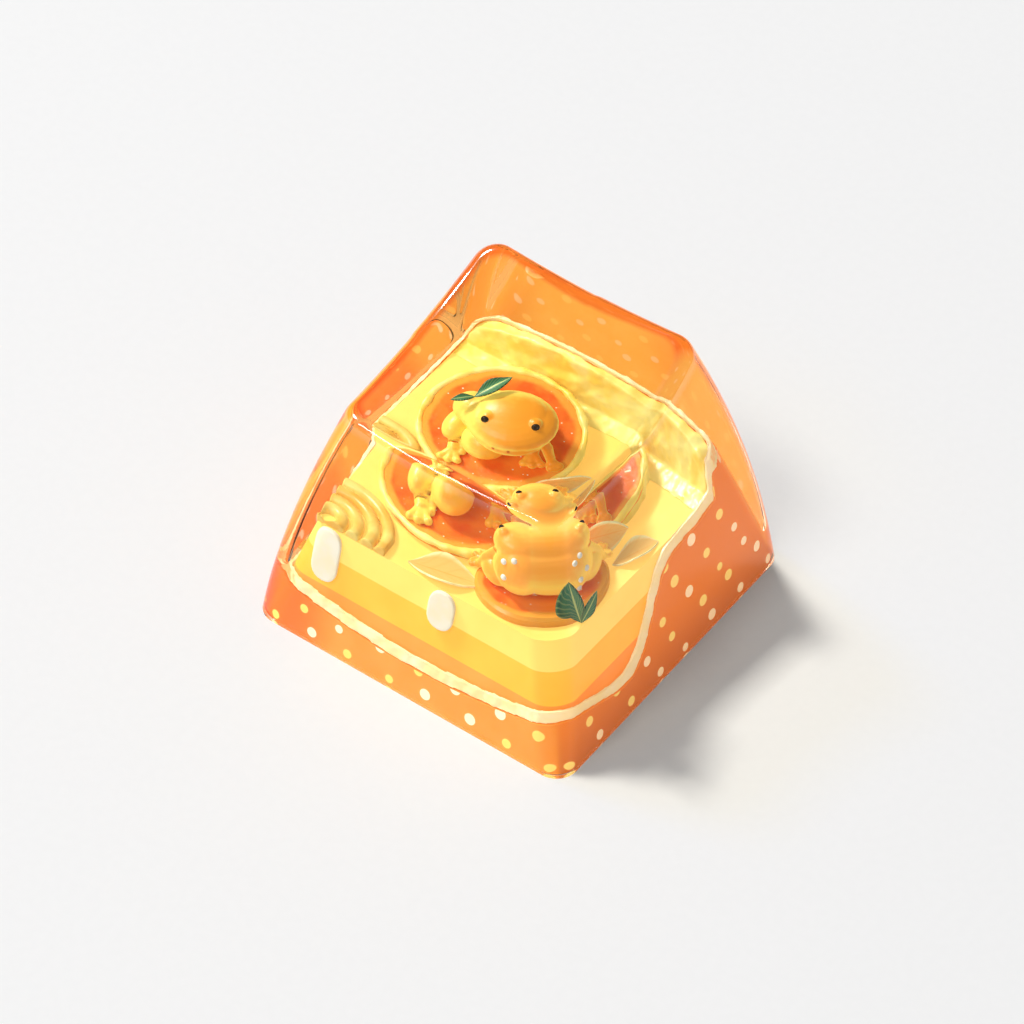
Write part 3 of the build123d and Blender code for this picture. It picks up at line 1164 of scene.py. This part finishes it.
@dataclass
class Trimmings:
    """Leaves, petals and pearls."""

    sitting: Matrix
    sitting_height: float
    turned_pose: Matrix
    turned_height: float
    leaf_share: float = 0.4
    sprig_foot: tuple[float, float, float] = (6.35, -5.1, 6.33)
    petal: tuple[float, float] = (3.0, 1.9)
    petal_poses: tuple[tuple[str, float, float, float], ...] = (
        ("front_petal", 0, 18, 1.3), ("middle_petal", 80, 48, 1.0), ("side_petal", 0, 60, 1.0),
    )
    green: LeafBlade = LeafBlade("leaf_blade", tone(52, 124, 84), tone(30, 92, 60), tone(206, 216, 130), 0.09)
    # The petals carry a painted glow.
    amber: LeafBlade = LeafBlade(
        "petal_blade", tone(252, 204, 116), tone(255, 242, 176), tone(250, 188, 92),
        rib_half=0.03, veins=5.0, opacity=0.75, rough=0.25, glow=0.3,
    )
    pearl_radius: float = 0.16
    pearl_places: tuple[tuple[float, float], ...] = (
        (-58, 0.66), (-62, 0.42), (-40, 0.32), (-36, 0.14), (40, 0.68), (66, 0.60), (54, 0.38), (-34, 0.62),
    )
    pearl: Mottled = Mottled("pearl", tone(255, 252, 244), tone(250, 240, 222), 2.0, 0.2)

    def build(self) -> None:
        """Makes every trimming."""
        self._head_leaves()
        self._sprig()
        self._petals()
        self._pearls()

    def _blade(
        self, size: tuple[float, float], cup: float, droop: float, thickness: float
    ) -> bpy.types.Object:
        """Pointed oval blade, curled along its middle.

        Args:
            size: length and width.
            cup: how far its sides rise.
            droop: how far its tips sink.
            thickness: its thickness.

        Returns:
            The new object, flat on z = 0 with its length along X.
        """
        deselect()
        bpy.ops.mesh.primitive_grid_add(x_subdivisions=28, y_subdivisions=12, size=1.0, calc_uvs=True)
        blade = bpy.context.object
        length, width = size
        for vertex in blade.data.vertices:
            along, across = 2 * vertex.co.x, 2 * vertex.co.y
            half = (1.0 - abs(along) ** 1.8) * width / 2
            vertex.co.x = along * length / 2
            vertex.co.y = across * half
            vertex.co.z = cup * (across * half / (width / 2)) ** 2 - droop * along * along
        pick_only(blade)
        thick = blade.modifiers.new("thick", "SOLIDIFY")
        thick.thickness = thickness
        thick.offset = 1.0
        bpy.ops.object.modifier_apply(modifier=thick.name)
        bpy.ops.object.shade_smooth()
        return blade

    def _fan(self, root: Matrix, leaves: Sequence[tuple[Matrix, float]], name: str, node: str) -> None:
        """Fans leaves out from a point.

        Args:
            root: where the leaves start.
            leaves: turn and length of each leaf.
            name: the piece's name.
            node: CAD node that it stands for.
        """
        blades = []
        for turn, length in leaves:
            blade = self._blade((length, self.leaf_share * length), 0.11 * length, 0.05 * length, 0.09)
            blade.data.transform(root @ turn @ moved(0.5 * length, 0, 0.05))
            blades.append(blade)
        settle(join(blades, name), self.green.material(), "leaf_green", node)

    def _head_leaves(self) -> None:
        """Lays a long and a short leaf on the first frog's crown."""
        size = self.sitting_height
        crown = self.sitting @ moved(-0.42 * size, 0.06 * size, 0.90 * size)
        leaves = (turned(40, "Z") @ turned(-12, "Y"), 2.1), (turned(205, "Z") @ turned(-8, "Y"), 1.2)
        self._fan(crown, leaves, "crown_leaves", "head_leaves")

    def _sprig(self) -> None:
        """Stands a tall and a short leaf at the right edge of the cake."""
        foot = moved(*self.sprig_foot) @ turned(55, "Z") @ turned(90, "X")
        self._fan(foot, ((turned(98, "Z"), 2.8), (turned(52, "Z"), 2.0)), "sprig_leaves", "leaf_sprig")

    def _petals(self) -> None:
        """Lays the three petals where the solids have them, each tipped, turned and grown."""
        finish = self.amber.material()
        for node, tip, turn, grow in self.petal_poses:
            petal = self._blade((grow * self.petal[0], grow * self.petal[1]), 0.42, 0.0, 0.10)
            middle = middle_of(node)
            pose = Matrix.Translation(middle) @ turned(turn, "Z") @ turned(tip, "X") @ moved(0, 0, -0.2)
            petal.data.transform(pose)
            petal.name = f"{node}_blade"
            settle(petal, finish, "petal", node)

    def _pearls(self) -> None:
        """Scatters pearls over the second frog's back."""
        pearls = []
        _, back, rise = HUNCHED_MIDDLE
        wide, deep, tall = HUNCHED_HALF
        for turn, height in self.pearl_places:
            angle = math.radians(turn)
            level = (height - rise) / tall
            out = math.sqrt(max(0.0, 1.0 - level * level))
            spot = Vector((wide * out * math.sin(angle), back + deep * out * math.cos(angle), height))
            pearls.append(add_ball(spot * self.turned_height, [self.pearl_radius] * 3))
        piece = join(pearls, "back_pearls")
        bpy.ops.object.shade_smooth()
        piece.data.transform(self.turned_pose)
        settle(piece, self.pearl.material(), "white_cream")


@dataclass(frozen=True)
class Lamp:
    """Soft lamp, with its place and size in metres and its power in watts."""

    name: str
    place: tuple[float, float, float]
    size: tuple[float, float]
    power: float


@dataclass
class Studio:
    """Pale floor, soft light and the photograph's camera."""

    azimuth: float = 36.03
    elevation: float = 47.60
    roll: float = -0.418
    distance: float = 250.0
    pixels_per_mm: float = 21.052
    image: int = 1024
    aim: tuple[float, float, float] = (0.241, -1.004, 6.0)
    ambient: float = 0.16
    floor_size: float = 3.0
    floor_gap: float = 0.02
    key: Lamp = Lamp("key", (-1.22, 0.0, 1.32), (0.3, 0.3), 26.2)
    front: Lamp = Lamp("front", (-0.42, -1.18, 1.30), (1.0, 0.34), 10.6)

    def build(self) -> None:
        """Sets up the whole studio."""
        self._floor()
        self._world()
        for lamp in (self.key, self.front):
            self._hang(lamp)
        self._camera()

    def _floor(self) -> None:
        """Lays a wide pale ground under the key."""
        deselect()
        bpy.ops.mesh.primitive_plane_add(size=self.floor_size, location=(0, 0, -self.floor_gap * MM))
        bpy.ops.object.transform_apply(location=True)
        ground = bpy.context.object
        ground.name = "ground"
        material, graph = new_material("pale_ground")
        grain = graph.noise(graph.place(), 2.0).step(0.3, 0.7)
        colour = graph.blend(grain, tone(245, 245, 245), tone(246, 246, 246))
        graph.surface({"Base Color": colour, "Roughness": 0.9})
        ground.data.materials.append(material)

    def _world(self) -> None:
        """Fills the room with even light."""
        world = bpy.data.worlds.new("studio")
        bpy.context.scene.world = world
        world.use_nodes = True
        graph = Graph(world.node_tree)
        light = graph.node("ShaderNodeBackground", {}, {"Color": (1.0, 1.0, 1.0), "Strength": self.ambient})
        graph.node("ShaderNodeOutputWorld", {}, {"Surface": light})

    def _hang(self, lamp: Lamp) -> None:
        """Hangs one lamp that looks at the middle of the key.

        Args:
            lamp: the lamp.
        """
        data = bpy.data.lights.new(lamp.name, "AREA")
        data.shape = "RECTANGLE"
        data.size, data.size_y = lamp.size
        data.energy = lamp.power
        hung = bpy.data.objects.new(lamp.name, data)
        bpy.context.scene.collection.objects.link(hung)
        hung.location = lamp.place
        away = Vector(lamp.place) - Vector((0, 0, self.aim[2] * MM))
        hung.rotation_euler = away.to_track_quat("Z", "Y").to_euler()

    def _camera(self) -> None:
        """Places the camera where the photograph was taken from."""
        turn, lift, roll = (math.radians(angle) for angle in (self.azimuth, self.elevation, self.roll))
        back = Vector((math.sin(turn) * math.cos(lift), -math.cos(turn) * math.cos(lift), math.sin(lift)))
        right = Vector((math.cos(turn), math.sin(turn), 0.0))
        up = back.cross(right)
        rolled_right = right * math.cos(roll) - up * math.sin(roll)
        rolled_up = right * math.sin(roll) + up * math.cos(roll)
        data = bpy.data.cameras.new("camera")
        data.sensor_width = 36.0
        data.lens = self.pixels_per_mm * self.distance / self.image * data.sensor_width
        data.clip_start = 0.01
        data.clip_end = 10.0
        camera = bpy.data.objects.new("camera", data)
        bpy.context.scene.collection.objects.link(camera)
        matrix = Matrix((rolled_right, rolled_up, back)).transposed().to_4x4()
        matrix.translation = (Vector(self.aim) + back * self.distance) * MM
        camera.matrix_world = matrix
        bpy.context.scene.camera = camera


def main() -> None:
    """Builds the dressed keycap and its studio."""
    logging.basicConfig(level=logging.INFO)
    bpy.context.scene.view_settings.view_transform = "Standard"
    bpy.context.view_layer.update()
    slices = Slices()
    sitting = slices.large_pose() @ moved(*SITTING_PLACE) @ turned(SITTING_TURN, "Z")
    facing_away = slices.small_pose() @ moved(*TURNED_PLACE) @ turned(TURNED_TURN, "Z")
    golden = FrogSkin(
        "golden_frog", tone(248, 158, 42), tone(255, 222, 96), tone(208, 104, 24), tone(252, 184, 60)
    )
    # The orange frog has a stronger painted glow.
    orange = FrogSkin(
        "orange_frog", tone(250, 162, 58), tone(255, 204, 90), tone(208, 100, 24), tone(252, 172, 58), 0.42
    )
    makers = (
        Studio(),
        Shell(),
        Cup(),
        Cake(slices),
        slices,
        Frog("sitting_frog", "frog_yellow", sitting, SITTING_HEIGHT, Stance.UPRIGHT, golden),
        Frog("turned_frog", "frog_orange", facing_away, TURNED_HEIGHT, Stance.HUNCHED, orange, 0.17),
        Trimmings(sitting, SITTING_HEIGHT, facing_away, TURNED_HEIGHT),
    )
    for maker in makers:
        maker.build()


if __name__ == "__main__":
    main()
